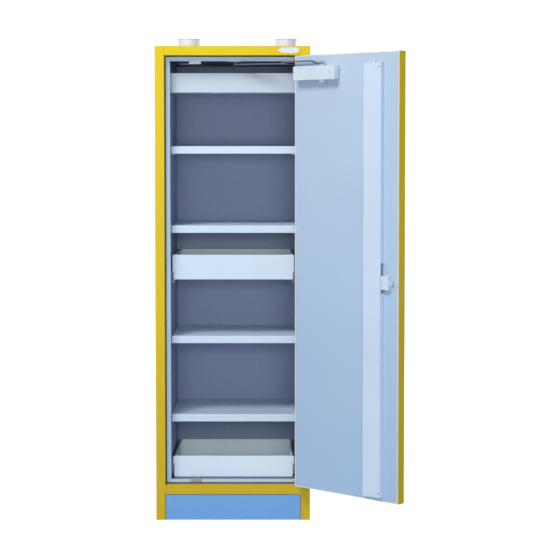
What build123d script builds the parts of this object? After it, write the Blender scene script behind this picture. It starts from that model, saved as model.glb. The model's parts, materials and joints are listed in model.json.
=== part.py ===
"""Fire-resistant reagent cabinet with two pull-out drawers, four shelves and one door.

Frame: origin at the centre of the underside, +X to the right seen from the front,
-Y towards the front, +Z up, millimetres. The door is drawn closed and then swung open
about its hinge axis, because the cabinet rests with its door open.
"""
import os
from math import atan2, cos, degrees, dist, radians, sin, sqrt

from build123d import *

# ------------------------------------------------------------------ outer case
cabinet_width = 635.0
cabinet_depth = 600.0
cabinet_height = 1950.0
sheet = 1.5  # folded steel of the case, the door pan and the furniture
edge_round = 1.2  # outside bend radius of the folded steel
face_width = 38.0  # each front post, seen from the front
frame_depth = 42.0  # posts, header and rail, front to back
header_height = 38.0
rail_height = 38.0
plinth_height = 107.0  # floor to the underside of the bottom rail

# ------------------------------------------------------------------ door rebate
stop_thickness = 3.0
stop_side = 22.0  # stop frame showing inside each post
stop_top = 22.0
stop_sill = 17.0
seal_width = 4.5
seal_thickness = 3.0
seal_margin = 0.3  # from the edge of the door opening to the heat-swelling strip in the rebate

# ------------------------------------------------------------------ lining
liner = 8.0
liner_setback = 0.5  # lining behind the edge of the stop frame
floor_drop = 2.0  # lining floor below the top of the sill
wall_depth = 60.0  # back lining face to the rear of the cabinet

# ------------------------------------------------------------------ furniture
front_line = 90.0  # shelf, drawer and vent fronts behind the cabinet's front
shelf_side_gap = 2.0
shelf_back_gap = 14.0
shelf_lip = 31.0
pin_pitch = 32.8  # rows of support holes in the side lining
pin_radius = 2.5
pin_depth = 6.0
pin_reach = 12.0  # shelf pin showing inside the lining
first_shelf = 427.0  # top of the lowest shelf
shelf_rows = (0, 10, 24, 34)  # rows of holes above the lowest shelf's row
rows_below = 6
rows_above = 5
pin_inset_front = 60.0  # from the shelf's front to the first column of holes
pin_inset_back = 55.0

drawer_back_gap = 16.0  # rear of a drawer to the back lining
drawer_side_gap = 12.7  # room for a runner on each side
drawer_front_side = 5.5  # drawer front to the lining, upper part
drawer_front_step = 5.0  # lower part of the front is narrower, beside the runner's end
drawer_rim = 8.0
drawer_floor_lift = 8.0
runner_height = 45.0
runner_back_gap = 22.0
runner_sheet = 1.2
runner_clearance = 1.5
runner_lift_mid = -12.0  # underside of the runner from the underside of its drawer
runner_lift_low = 12.0
mid_drawer_bottom = 990.0
mid_drawer_height = 102.5
low_drawer_bottom = 164.0
low_drawer_height = 87.5

vent_drop = 47.0  # pocket between the vent panel's top and the ceiling
vent_height = 80.0
vent_lip = 18.0
vent_lip_proud = 3.0
vent_slots = 9
vent_slot_length = 60.0
vent_slot_width = 7.0

# ------------------------------------------------------------------ roof
collar_radius = 47.0
collar_wall = 1.2
collar_height = 45.0
collar_flange = 15.0
exhaust_from_side = 124.5  # duct axes from the cabinet's sides
inlet_from_side = 100.5
damper_gap = 1.3
damper_sheet = 2.0
damper_shaft = 3.0
damper_drop = 5.0  # damper shaft below the roof
badge_from_side = 86.5
badge_rise = 22.0  # badge centre above the header's underside
badge_width = 88.0
badge_height = 26.0
badge_thickness = 2.0
stud_radius = 4.0
stud_length = 18.0
stud_inset = 30.0
wall_hole_radius = 4.5
wall_hole_spacing = 500.0
wall_hole_drop = 100.0

# ------------------------------------------------------------------ base
plinth_setback = 3.0
plinth_gap = 2.0
plinth_fold = 20.0
foot_radius = 25.0
foot_thickness = 8.0
foot_stud = 6.0
foot_inset_x = 75.0
foot_inset_y = 70.0

# ------------------------------------------------------------------ door
door_gap_side = 3.5
door_gap_top = 4.0
door_gap_bottom = 4.0
door_thickness = 38.0
door_open = 136.0  # degrees, as it stands
door_strip_width = 5.0
hinge_out = 5.2  # hinge axis beyond the door's hinge edge
hinge_forward = 5.7  # hinge axis in front of the door's face
knuckle_radius = 5.4
hinge_pin_radius = 3.0
hinge_height = 84.0
hinge_leaf = 30.0
leaf_thickness = 2.0
hinge_count = 3
hinge_inset = 150.0  # from each end of the door to an outer hinge's centre
knuckle_gap = 0.4
running = 0.05  # radial clearance of pins and shafts

# ------------------------------------------------------------------ closer
closer_start = 24.0  # from the door's hinge edge
closer_length = 219.0
closer_depth = 38.0
closer_height = 56.0
closer_drop = 46.0  # below the door's top edge
closer_wall = 1.5
closer_round = 3.0
spindle_from_edge = 166.0
spindle_off_face = 19.0
spindle_radius = 6.0
spindle_cap_radius = 12.0
spindle_cap_height = 10.0
arm_length = 212.0
arm_width = 18.0
arm_thickness = 5.0
arm_step = 10.0  # main arm cranked up by
arm_spindle_gap = 8.0  # top of the closer to the arm's lower end
arm_step_start = 28.0
arm_step_end = 54.0
elbow_gap = 1.0
elbow_boss = 1.5
bracket_behind = 13.0  # bracket pivot behind the front of the stop frame
bracket_width = 60.0
bracket_thickness = 3.0
bracket_pin = 5.0

# ------------------------------------------------------------------ lock
strip_from_edge = 76.0  # cover strip from the door's free edge
strip_width = 90.0
strip_depth = 20.0
strip_drop = 42.0  # below the door's top edge
strip_lift = 17.0  # above the door's bottom edge
strip_wall = 1.5
slot_height = 117.0
slot_above = 43.0  # slot centre above the lock's underside
lock_height = 1012.0  # handle spindle above the floor
case_length = 37.5
case_height = 55.0
case_depth = 19.0
rod_radius = 5.0
rod_offset = 10.0  # rod axis off the door's inner face
rod_travel = 12.0
rod_tip_out = 10.5  # top rod past the cover strip
guide_size = 26.0
guide_heights = (300.0, 650.0, 1350.0, 1700.0)
latch_reach = 17.0  # tongue past the lock case, drawn back
latch_tail = 10.0  # tongue inside the lock case
latch_height = 16.0
latch_thickness = 6.0
latch_offset = 12.0  # tongue centre off the inner face
latch_travel = 14.0
latch_play = 1.0
keeper_width = 48.0
keeper_depth = 19.0
keeper_front = 1.5  # keeper in front of the stop frame
keeper_gap = 2.0  # keeper to the cover strip or the rod's tip
keeper_over = 2.0  # top keeper's plate over the stop frame
screw_radius = 3.2
screw_head = 1.2
screw_inset = 9.0
screw_pitch_count = 6

# ------------------------------------------------------------------ handle
plate_width = 36.0
plate_thickness = 4.0
plate_above = 45.0
plate_below = 105.0
handle_from_case = 18.0  # spindle from the lock case's outer end
handle_spindle = 4.0
hub_radius = 11.0
handle_stand = 40.0
lever_length = 128.0
lever_height = 20.0
lever_thickness = 11.0
cylinder_drop = 72.0
cylinder_radius = 9.0
plug_radius = 6.0
cylinder_proud = 6.0
plug_length = 30.0
key_slot = (7.0, 1.6, 12.0)

# ------------------------------------------------------------------ worked out
half_width = cabinet_width / 2
front = -cabinet_depth / 2
back = cabinet_depth / 2
opening_half = half_width - face_width
opening_bottom = plinth_height + rail_height
opening_top = cabinet_height - header_height
frame_back = front + frame_depth
stop_back = frame_back + stop_thickness
stop_half = opening_half - stop_side
stop_low = opening_bottom + stop_sill
stop_high = opening_top - stop_top
lining_half = stop_half + liner_setback
lining_back = back - wall_depth
lining_floor = stop_low - floor_drop
lining_ceiling = stop_high
furniture_front = front + front_line
base_top = plinth_height + sheet

door_half = opening_half - door_gap_side
door_low = opening_bottom + door_gap_bottom
door_high = opening_top - door_gap_top
door_face = front
door_inner = door_face + door_thickness
hinge_x = door_half + hinge_out
hinge_y = door_face - hinge_forward
hinge_line = Axis((hinge_x, hinge_y, 0), (0, 0, 1))


def block(x, y, z):
    """A box between two limits along each axis."""
    size = [high - low for low, high in (x, y, z)]
    middle = [(high + low) / 2 for low, high in (x, y, z)]
    return Pos(*middle) * Box(*size)


def upright(x, y, z, radius):
    """A round bar along Z between two heights."""
    return Pos(x, y, sum(z) / 2) * Cylinder(radius, z[1] - z[0])


def along_y(x, z, y, radius):
    """A round bar along Y between two depths."""
    return Pos(x, sum(y) / 2, z) * Rot(90, 0, 0) * Cylinder(radius, y[1] - y[0])


def along_x(y, z, x, radius):
    """A round bar along X between two limits."""
    return Pos(sum(x) / 2, y, z) * Rot(0, 90, 0) * Cylinder(radius, x[1] - x[0])


def soften(shape, axis, radius):
    """Rounds the straight edges that run along one axis."""
    return fillet(shape.edges().filter_by(axis), radius)


def mirrored(shape):
    """The same piece on the other side of the cabinet."""
    return mirror(shape, about=Plane.YZ)


def save(name, *pieces):
    """Writes one sub-part, of one or more separate solids."""
    solids = [solid for piece in pieces for solid in piece.solids()]
    whole = solids[0] if len(solids) == 1 else Compound(solids)
    export_step(whole, f"parts/{name}.step")


def on_door(*pieces):
    """Pieces drawn on the closed door, swung to where it stands open."""
    return [piece.rotate(hinge_line, door_open) for piece in pieces]


def door_x(from_hinge):
    """Closed position across the door, from a distance to its hinge edge."""
    return door_half - from_hinge


def ring(half, low, high, width, y):
    """A flat rectangular frame, inside the given outline."""
    outer = block((-half, half), y, (low, high))
    return outer - block((width - half, half - width), y, (low + width, high - width))


# ------------------------------------------------------------------ shared places
strip_far = 2 * door_half - strip_from_edge  # cover strip's edge, from the hinge edge
strip_x = (door_x(strip_far), door_x(strip_far - strip_width))
strip_y = (door_inner, door_inner + strip_depth)
strip_z = (door_low + strip_lift, door_high - strip_drop)
rod_x = sum(strip_x) / 2
rod_y = door_inner + rod_offset
rod_top = strip_z[1] + rod_tip_out
case_x = (strip_x[0] - strip_wall - case_length, strip_x[0] - strip_wall)
case_y = (door_inner, door_inner + case_depth)
case_z = (lock_height - case_height / 2, lock_height + case_height / 2)
handle_x = case_x[0] + handle_from_case
spindle_end = case_y[1] - 2 * sheet  # the handle's bar stops inside the lock case
latch_y = door_inner + latch_offset
latch_z = (lock_height - latch_height / 2, lock_height + latch_height / 2)
latch_x = (case_x[0] - latch_reach, case_x[0] + latch_tail)
keeper_x = (rod_x - keeper_width / 2, rod_x + keeper_width / 2)
keeper_y = (frame_back - keeper_front, frame_back - keeper_front + keeper_depth)
top_keeper_z = (rod_top + keeper_gap, stop_high + keeper_over)
bottom_keeper_z = (door_low - keeper_gap, strip_z[0] - keeper_gap)
strike_x = (-lining_half - latch_travel - 2 * latch_play - sheet, -lining_half)
strike_y = (stop_back, latch_y + latch_thickness)
strike_z = (latch_z[0] - latch_height / 2, latch_z[1] + latch_height / 2)

top_keeper_space = block(keeper_x, keeper_y, top_keeper_z)
bottom_keeper_space = block(keeper_x, keeper_y, bottom_keeper_z)
strike_space = block(strike_x, strike_y, strike_z)
exhaust_x = exhaust_from_side - half_width
inlet_x = half_width - inlet_from_side
duct_holes = [
    upright(x, 0, (lining_ceiling - liner, cabinet_height + collar_height), collar_radius)
    for x in (exhaust_x, inlet_x)
]


# ------------------------------------------------------------------ case
def outer_case():
    """Posts, header, rail and the folded sheet around them."""
    post_x = (opening_half, half_width)
    post_y = (front, frame_back)
    post = soften(block(post_x, post_y, (0, cabinet_height)), Axis.Z, edge_round)
    inner_x = (opening_half + sheet, half_width - sheet)
    inner_y = (front + sheet, frame_back - sheet)
    post -= block(inner_x, inner_y, (-sheet, cabinet_height - sheet))
    bars = []
    for low, high in ((opening_top, cabinet_height), (plinth_height, opening_bottom)):
        across = (-opening_half, opening_half)
        rail = soften(block(across, post_y, (low, high)), Axis.X, edge_round)
        bars.append(rail - block(across, inner_y, (low + sheet, high - sheet)))
    save("front_frame", post, mirrored(post), *bars)
    side = block((half_width - sheet, half_width), (frame_back, back), (0, cabinet_height))
    save("side_panels", side, mirrored(side))
    inner_half = half_width - sheet
    roof_z = (cabinet_height - sheet, cabinet_height)
    roof = block((-inner_half, inner_half), (frame_back, back - sheet), roof_z)
    for hole in duct_holes:
        roof -= hole
    save("top_panel", roof)
    rear = block((-inner_half, inner_half), (back - sheet, back), (foot_thickness, cabinet_height))
    for x in (-wall_hole_spacing / 2, wall_hole_spacing / 2):
        depth = (back - 2 * sheet, back + sheet)
        rear -= along_y(x, cabinet_height - wall_hole_drop, depth, wall_hole_radius)
    save("back_panel", rear)
    base_y = (frame_back, back - sheet)
    save("bottom_panel", block((-inner_half, inner_half), base_y, (plinth_height, base_top)))


def stop_frame():
    """The light frame that the door shuts against, and the seal on it."""
    y = (frame_back, stop_back)
    outer = half_width - sheet
    z = (base_top, cabinet_height - sheet)
    side = block((stop_half, outer), y, z)
    top = block((-stop_half, stop_half), y, (stop_high, z[1])) - top_keeper_space
    sill = block((-stop_half, stop_half), y, (z[0], stop_low)) - bottom_keeper_space
    save("stop_frame", side, mirrored(side), top, sill)
    seal_y = (frame_back - seal_thickness, frame_back)
    half = opening_half - seal_margin
    seal_z = (opening_bottom + seal_margin, opening_top - seal_margin)
    seal = ring(half, *seal_z, seal_width, seal_y) - bottom_keeper_space
    save("frame_seal", seal)


def insulation_and_lining():
    """Fire-resistant boards with the lining panels on their inside."""
    shell_half = half_width - sheet
    board_half = lining_half + liner
    y = (stop_back, back - sheet)
    board_y = (stop_back, lining_back + liner)
    z = (base_top, cabinet_height - sheet)
    side_board = block((board_half, shell_half), y, z)
    across = (-board_half, board_half)
    rear = block(across, (lining_back + liner, back - sheet), z)
    roof = block(across, board_y, (lining_ceiling + liner, z[1]))
    for hole in duct_holes:
        roof -= hole
    floor = block(across, board_y, (z[0], lining_floor - liner)) - bottom_keeper_space
    save("insulation_boards", side_board, mirrored(side_board) - strike_space, rear, roof, floor)

    panel_y = (stop_back, lining_back)
    panel_z = (lining_floor, lining_ceiling)
    panel = block((lining_half, board_half), panel_y, panel_z)
    holes = Compound([along_x(*place, (lining_half, lining_half + pin_depth), pin_radius)
                      for place in pin_places()])
    panel -= holes
    full_z = (lining_floor - liner, lining_ceiling + liner)
    rear = block(across, (lining_back, lining_back + liner), full_z)
    ceiling = block(across, panel_y, (lining_ceiling, full_z[1])) - top_keeper_space
    for hole in duct_holes:
        ceiling -= hole
    floor = block(across, panel_y, (full_z[0], lining_floor)) - bottom_keeper_space
    save("lining_panels", panel, mirrored(panel) - strike_space, rear, ceiling, floor)


# ------------------------------------------------------------------ shelves
def shelf_top(row):
    """Height of a shelf's top, from its row of support holes."""
    return first_shelf + row * pin_pitch


def pin_columns():
    """Depths of the front and the rear column of support holes."""
    rear = lining_back - shelf_back_gap - pin_inset_back
    return (furniture_front + pin_inset_front, rear)


def pin_height(row):
    """Centre of the support pins of a row, under the shelf's side lip."""
    return shelf_top(row) - shelf_lip - pin_radius


def pin_places():
    """Depth and height of every support hole in one side."""
    rows = range(-rows_below, shelf_rows[-1] + rows_above + 1)
    return [(y, pin_height(row)) for row in rows for y in pin_columns()]


def shelves():
    """Four folded shelves on pins in the side lining."""
    half = lining_half - shelf_side_gap
    y = (furniture_front, lining_back - shelf_back_gap)
    pins = []
    for number, row in enumerate(shelf_rows, 1):
        top = shelf_top(row)
        tray = block((-half, half), y, (top - shelf_lip, top))
        tray = soften(tray, Axis.X, edge_round)
        hollow_y = (y[0] + sheet, y[1] - sheet)
        tray -= block((sheet - half, half - sheet), hollow_y, (top - shelf_lip, top - sheet))
        save(f"shelf_{number}", tray)
        for depth in pin_columns():
            reach = (lining_half - pin_reach, lining_half + pin_depth)
            pin = along_x(depth, pin_height(row), reach, pin_radius)
            pins += [pin, mirrored(pin)]
    save("shelf_pins", *pins)


# ------------------------------------------------------------------ drawers
def channel(x_back, x_open, height, middle, y):
    """One member of a drawer runner: a channel with its web at x_back."""
    low, high = sorted((x_back, x_open))
    z = (middle - height / 2, middle + height / 2)
    web = runner_sheet if x_back < x_open else -runner_sheet
    hollow = sorted((x_back + web, x_open + web))
    inner_z = (z[0] + runner_sheet, z[1] - runner_sheet)
    return block((low, high), y, z) - block(hollow, y, inner_z)


def drawer(name, bottom, height, runner_lift):
    """A folded tray with its front and moving runners; returns the fixed runners."""
    box_half = lining_half - drawer_side_gap
    front_half = lining_half - drawer_front_side
    top = bottom + height
    tray_y = (furniture_front + sheet, lining_back - drawer_back_gap)
    floor = bottom + drawer_floor_lift
    tray = block((-box_half, box_half), tray_y, (floor, top))
    inner_half = box_half - sheet
    inner_y = (tray_y[0] + sheet, tray_y[1] - sheet)
    tray -= block((-inner_half, inner_half), inner_y, (floor + sheet, top - sheet))
    rim_y = (tray_y[0] + drawer_rim, tray_y[1] - drawer_rim)
    rim_half = box_half - drawer_rim
    tray -= block((-rim_half, rim_half), rim_y, (top - 2 * sheet, top + sheet))
    save(f"{name}_drawer_tray", tray)

    middle = bottom + runner_lift + runner_height / 2
    step = middle + runner_height / 2
    narrow = front_half - drawer_front_step
    y = (furniture_front, furniture_front + sheet)
    panel = block((-narrow, narrow), y, (bottom, top))
    panel += block((-front_half, front_half), y, (step, top))
    save(f"{name}_drawer_front", panel)

    runner_y = (y[1] + sheet, lining_back - runner_back_gap)
    nest = runner_clearance + runner_sheet
    depth = drawer_side_gap
    fixed = channel(lining_half, lining_half - depth + runner_clearance,
                    runner_height, middle, runner_y)
    carrier = channel(lining_half - nest - runner_sheet * 1.5,
                      lining_half - depth + runner_clearance,
                      runner_height - 2 * nest, middle, runner_y)
    moving = channel(box_half, lining_half - 2 * nest - runner_sheet * 2,
                     runner_height - 4 * nest, middle, runner_y)
    save(f"{name}_runner_carrier", carrier, mirrored(carrier))
    save(f"{name}_runner_drawer", moving, mirrored(moving))
    return [fixed, mirrored(fixed)]


# ------------------------------------------------------------------ roof and air
def vent_panel():
    """Slotted panel under the ceiling, with a tall front and a proud lower lip."""
    y = (furniture_front, lining_back)
    top = lining_ceiling - vent_drop
    z = (top - vent_height, top)
    front_wall = block((-lining_half, lining_half), (y[0], y[0] + sheet), z)
    lip_y = (y[0] - vent_lip_proud, y[0])
    lip = block((-lining_half, lining_half), lip_y, (z[0], z[0] + vent_lip))
    plate = block((-lining_half, lining_half), y, (z[0], z[0] + sheet))
    pitch = 2 * lining_half / vent_slots
    slots = []
    for row_y in (y[0] / 3, y[1] / 2):
        for column in range(vent_slots):
            x = (column + 0.5) * pitch - lining_half
            reach = min(vent_slot_length, pitch * 0.8) / 2
            slots.append(block((x - vent_slot_width / 2, x + vent_slot_width / 2),
                               (row_y - reach, row_y + reach), (z[0] - sheet, z[0] + 2 * sheet)))
    save("vent_panel", front_wall + lip + plate - Compound(slots))


def duct(name, x):
    """The damper flap that closes a duct in a fire; returns the flanged roof collar."""
    top = cabinet_height + collar_height
    shaft_z = cabinet_height - damper_drop
    tube = upright(x, 0, (lining_ceiling, top), collar_radius)
    flange_z = (cabinet_height, cabinet_height + sheet)
    tube += upright(x, 0, flange_z, collar_radius + collar_flange)
    bore = collar_radius - collar_wall
    tube -= upright(x, 0, (lining_ceiling - sheet, top + sheet), bore)
    reach = collar_radius - collar_wall / 2
    tube -= along_x(0, shaft_z, (x - reach, x + reach), damper_shaft + running)
    flap_y = (-damper_sheet / 2, damper_sheet / 2)
    flap = along_y(x, shaft_z, flap_y, bore - damper_gap)
    shaft_reach = bore + collar_wall / 2 - running
    flap += along_x(0, shaft_z, (x - shaft_reach, x + shaft_reach), damper_shaft)
    save(f"{name}_damper", flap)
    return tube


def roof_fittings():
    """The blank badge on the header and the earthing stud at the back of the roof."""
    badge = Pos(half_width - badge_from_side, front - badge_thickness / 2, opening_top + badge_rise)
    badge *= Rot(90, 0, 0) * extrude(Ellipse(badge_width / 2, badge_height / 2),
                                     badge_thickness / 2, both=True)
    save("badge_plate", badge)
    y = back - stud_inset
    stud = upright(0, y, (cabinet_height, cabinet_height + stud_length), stud_radius)
    stud += Pos(0, y, cabinet_height) * extrude(RegularPolygon(2 * stud_radius, 6), stud_radius)
    save("earthing_stud", stud)


# ------------------------------------------------------------------ base
def base():
    """Plinth panel between the posts, its clips and the levelling feet."""
    half = opening_half - plinth_gap
    z = (plinth_gap, plinth_height - plinth_gap)
    y = (front + plinth_setback, front + plinth_setback + plinth_fold)
    panel = block((-half, half), y, z)
    panel -= block((sheet - half, half - sheet), (y[0] + sheet, y[1] + sheet),
                   (z[0] - sheet, z[1] - sheet))
    save("plinth_panel", panel)
    clip_x = (half, opening_half)
    clip_z = (plinth_height / 2 - plinth_fold / 2, plinth_height / 2 + plinth_fold / 2)
    clip = block(clip_x, (y[0] + 2 * sheet, y[1]), clip_z)
    save("plinth_clips", clip, mirrored(clip))
    feet = []
    for x in (foot_inset_x - half_width, half_width - foot_inset_x):
        for depth in (front + foot_inset_y, back - foot_inset_y):
            foot = upright(x, depth, (0, foot_thickness), foot_radius)
            foot = foot + upright(x, depth, (foot_thickness, plinth_height), foot_stud)
            feet.append(foot)
    save("levelling_feet", *feet)


# ------------------------------------------------------------------ door leaf
def door_leaf():
    """Folded pan, board and inner panel, pierced for the handle and the cylinder."""
    z = (door_low, door_high)
    across = (-door_half, door_half)
    pan_y = (door_face, door_inner - sheet)
    inner = (sheet - door_half, door_half - sheet)
    inner_z = (door_low + sheet, door_high - sheet)
    pan = soften(block(across, pan_y, z), Axis.Z, edge_round)
    pan -= block(inner, (door_face + sheet, door_inner), inner_z)
    core = block(inner, (door_face + sheet, door_inner - sheet), inner_z)
    rim = door_half - door_strip_width
    panel_y = (door_inner - sheet, door_inner)
    panel = block((-rim, rim), panel_y, (door_low + door_strip_width, door_high - door_strip_width))
    spindle_hole = along_y(handle_x, lock_height, (door_face - sheet, door_inner + sheet),
                           handle_spindle + latch_play)
    cylinder_hole = along_y(handle_x, lock_height - cylinder_drop,
                            (door_face - sheet, door_face + plug_length), cylinder_radius)
    pan -= spindle_hole + cylinder_hole
    core -= spindle_hole + cylinder_hole
    panel -= spindle_hole
    save("door_outer_pan", *on_door(pan))
    save("door_core", *on_door(core))
    save("door_inner_panel", *on_door(panel))
    edge_strip = ring(door_half, door_low, door_high, door_strip_width, panel_y)
    save("door_edge_strip", *on_door(edge_strip))


def hinges():
    """Barrel hinges: two knuckles on the frame, one on the door, a pin through all."""
    door_leaves, frame_leaves, pins = [], [], []
    third = hinge_height / 3
    y = (front - leaf_thickness, front)
    for index in range(hinge_count):
        span = door_high - door_low - 2 * hinge_inset
        middle = door_low + hinge_inset + span * index / (hinge_count - 1)
        z = (middle - hinge_height / 2, middle + hinge_height / 2)
        mid_z = (middle - third / 2, middle + third / 2)
        clear_z = (mid_z[0] - knuckle_gap, mid_z[1] + knuckle_gap)
        reach = knuckle_radius + knuckle_gap
        bore = upright(hinge_x, hinge_y, z, hinge_pin_radius + running)
        room = (hinge_x - reach, hinge_x + reach)
        door_piece = block((hinge_x - hinge_leaf, hinge_x), y, z)
        door_piece -= block(room, y, (z[0], mid_z[0])) + block(room, y, (mid_z[1], z[1]))
        door_piece += upright(hinge_x, hinge_y, mid_z, knuckle_radius)
        frame_piece = block((hinge_x, hinge_x + hinge_leaf), y, z)
        frame_piece -= block(room, y, clear_z)
        frame_piece += upright(hinge_x, hinge_y, (z[0], clear_z[0]), knuckle_radius)
        frame_piece += upright(hinge_x, hinge_y, (clear_z[1], z[1]), knuckle_radius)
        door_leaves += on_door(door_piece - bore)
        frame_leaves.append(frame_piece - bore)
        pins.append(upright(hinge_x, hinge_y, z, hinge_pin_radius))
    save("hinge_leaves_door", *door_leaves)
    save("hinge_leaves_frame", *frame_leaves)
    save("hinge_pins", *pins)


# ------------------------------------------------------------------ closer
def turned(point, angle):
    """A plan point swung about the hinge axis by an angle in degrees."""
    x, y = point[0] - hinge_x, point[1] - hinge_y
    c, s = cos(radians(angle)), sin(radians(angle))
    return (hinge_x + c * x - s * y, hinge_y + s * x + c * y)


spindle_closed = (door_x(spindle_from_edge), door_inner + spindle_off_face)
spindle = turned(spindle_closed, door_open)
# the main arm lies along the open door, and the forearm reaches back from its elbow
elbow_place = (spindle[0] + arm_length * cos(radians(door_open)),
               spindle[1] + arm_length * sin(radians(door_open)))
bracket_y = frame_back + bracket_behind
bracket_x = elbow_place[0] - sqrt(arm_length ** 2 - (elbow_place[1] - bracket_y) ** 2)
bracket = (bracket_x, bracket_y)
closer_top = door_high - closer_drop
closer_z = (closer_top - closer_height, closer_top)
arm_low = closer_top + arm_spindle_gap
arm_high = arm_low + arm_step


def bar(start, end, profile_points):
    """A flat arm with round ends, from its outline seen from the side."""
    length = dist(start, end)
    angle = degrees(atan2(end[1] - start[1], end[0] - start[0]))
    side = make_face(Polyline(*profile_points, close=True))
    flat = extrude(Plane.XZ * side, arm_width / 2, both=True)
    plan = extrude(SlotCenterToCenter(length, arm_width), 2 * cabinet_height, both=True)
    shaped = flat & (Pos(length / 2, 0, 0) * plan)
    return Pos(start[0], start[1], 0) * Rot(0, 0, angle) * shaped


def closer():
    """Closer box with its spindle, the two arms of its linkage and their bracket."""
    box_x = (door_x(closer_start + closer_length), door_x(closer_start))
    box_y = (door_inner, door_inner + closer_depth)
    cover = soften(block(box_x, box_y, closer_z), Axis.Z, closer_round)
    hollow_x = (box_x[0] + closer_wall, box_x[1] - closer_wall)
    hollow_y = (box_y[0], box_y[1] - closer_wall)
    hollow_z = (closer_z[0] + closer_wall, closer_z[1] - closer_wall)
    hollow = block(hollow_x, hollow_y, hollow_z)
    whole_z = (closer_z[0] - spindle_cap_height, arm_low + arm_thickness)
    bore = upright(*spindle_closed, whole_z, spindle_radius + running)
    save("closer_cover", *on_door(cover - hollow - bore))
    save("closer_body", *on_door(hollow - bore))
    cap_z = (closer_z[0] - spindle_cap_height, closer_z[0] - running)
    shaft = upright(*spindle, (cap_z[0], arm_low), spindle_radius)
    shaft += upright(*spindle, cap_z, spindle_cap_radius)
    save("closer_spindle", shaft)

    half = arm_width / 2
    main = bar(spindle, elbow_place, [
        (-half, arm_low), (arm_step_start, arm_low), (arm_step_end, arm_high),
        (arm_length + half, arm_high), (arm_length + half, arm_high + arm_thickness),
        (arm_step_end, arm_high + arm_thickness),
        (arm_step_start, arm_low + arm_thickness), (-half, arm_low + arm_thickness)])
    boss_z = (arm_high + arm_thickness, arm_high + arm_thickness + elbow_boss)
    save("closer_main_arm", main + upright(*elbow_place, boss_z, half * 0.8))

    fore_z = (arm_high - elbow_gap - arm_thickness, arm_high - elbow_gap)
    fore = bar(bracket, elbow_place, [
        (-half, fore_z[0]), (arm_length + half, fore_z[0]),
        (arm_length + half, fore_z[1]), (-half, fore_z[1])])
    fore += upright(*elbow_place, (fore_z[0] - elbow_boss, fore_z[0]), half * 0.8)
    save("closer_forearm", fore - upright(*bracket, fore_z, bracket_pin + running))

    plate_x = (bracket_x - bracket_width / 2, bracket_x + bracket_width / 2)
    plate_y = (stop_back, 2 * bracket[1] - stop_back)
    plate = block(plate_x, plate_y, (lining_ceiling - bracket_thickness, lining_ceiling))
    pin_z = (fore_z[0] - elbow_boss, lining_ceiling - bracket_thickness)
    save("closer_bracket", plate + upright(*bracket, pin_z, bracket_pin))


# ------------------------------------------------------------------ lock
def cover_strip():
    """Channel down the inside of the door that hides the lock rods, with its screws."""
    shell = soften(block(strip_x, strip_y, strip_z), Axis.Z, edge_round)
    inner_x = (strip_x[0] + strip_wall, strip_x[1] - strip_wall)
    inner_y = (strip_y[0], strip_y[1] - strip_wall)
    shell -= block(inner_x, inner_y, (strip_z[0] + strip_wall, strip_z[1] - strip_wall))
    shell -= upright(rod_x, rod_y, strip_z, rod_radius + latch_play)
    slot_low = case_z[0] + slot_above - slot_height / 2
    slot_y = (strip_y[0], strip_y[1] - 2 * strip_wall)
    shell -= block((strip_x[0], inner_x[0]), slot_y, (slot_low, slot_low + slot_height))
    save("lock_cover_strip", *on_door(shell))
    heads = []
    run = (strip_z[0] + 2 * screw_inset, strip_z[1] - 2 * screw_inset)
    for index in range(screw_pitch_count):
        height = run[0] + (run[1] - run[0]) * index / (screw_pitch_count - 1)
        depth = (strip_y[1], strip_y[1] + screw_head)
        heads.append(along_y(strip_x[0] + screw_inset, height, depth, screw_radius))
    save("cover_screws", *on_door(*heads))


def lock_works():
    """Gearbox, lock case, latch tongue, rods and their guides."""
    play = latch_play
    box_x = (case_x[1], strip_x[1] - 2 * strip_wall)
    inner_x = (strip_x[0] + strip_wall, strip_x[1] - 2 * strip_wall)
    box_y = (strip_y[0], strip_y[1] - 2 * strip_wall)
    neck = block(box_x, (box_y[0], box_y[1] - strip_wall), case_z)
    gearbox = block(inner_x, box_y, case_z) + neck
    rod_bore = rod_radius + running
    reach = rod_travel + play
    top_bore = (case_z[1] - reach, case_z[1])
    low_bore = (case_z[0], case_z[0] + reach)
    gearbox -= upright(rod_x, rod_y, top_bore, rod_bore)
    gearbox -= upright(rod_x, rod_y, low_bore, rod_bore)
    save("lock_gearbox", *on_door(gearbox))

    case = soften(block(case_x, case_y, case_z), Axis.Z, edge_round)
    bore_y = (case_y[0], spindle_end + running)
    spindle_bore = along_y(handle_x, lock_height, bore_y, handle_spindle + running)
    tongue_y = (latch_y - latch_thickness / 2, latch_y + latch_thickness / 2)
    channel_y = (tongue_y[0] - running, tongue_y[1] + running)
    channel_z = (latch_z[0] - running, latch_z[1] + running)
    case -= spindle_bore + block((case_x[0], latch_x[1] + running), channel_y, channel_z)
    save("lock_case", *on_door(case))
    save("latch_tongue", *on_door(block(latch_x, tongue_y, latch_z)))

    top = upright(rod_x, rod_y, (case_z[1] - rod_travel, rod_top), rod_radius)
    low = upright(rod_x, rod_y, (strip_z[0], case_z[0] + rod_travel), rod_radius)
    save("top_rod", *on_door(top))
    save("bottom_rod", *on_door(low))
    guides = []
    for height in guide_heights:
        x = (rod_x - guide_size / 2, rod_x + guide_size / 2)
        z = (height - guide_size / 2, height + guide_size / 2)
        guides.append(block(x, box_y, z) - upright(rod_x, rod_y, z, rod_bore))
    save("rod_guides", *on_door(*guides))


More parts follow.
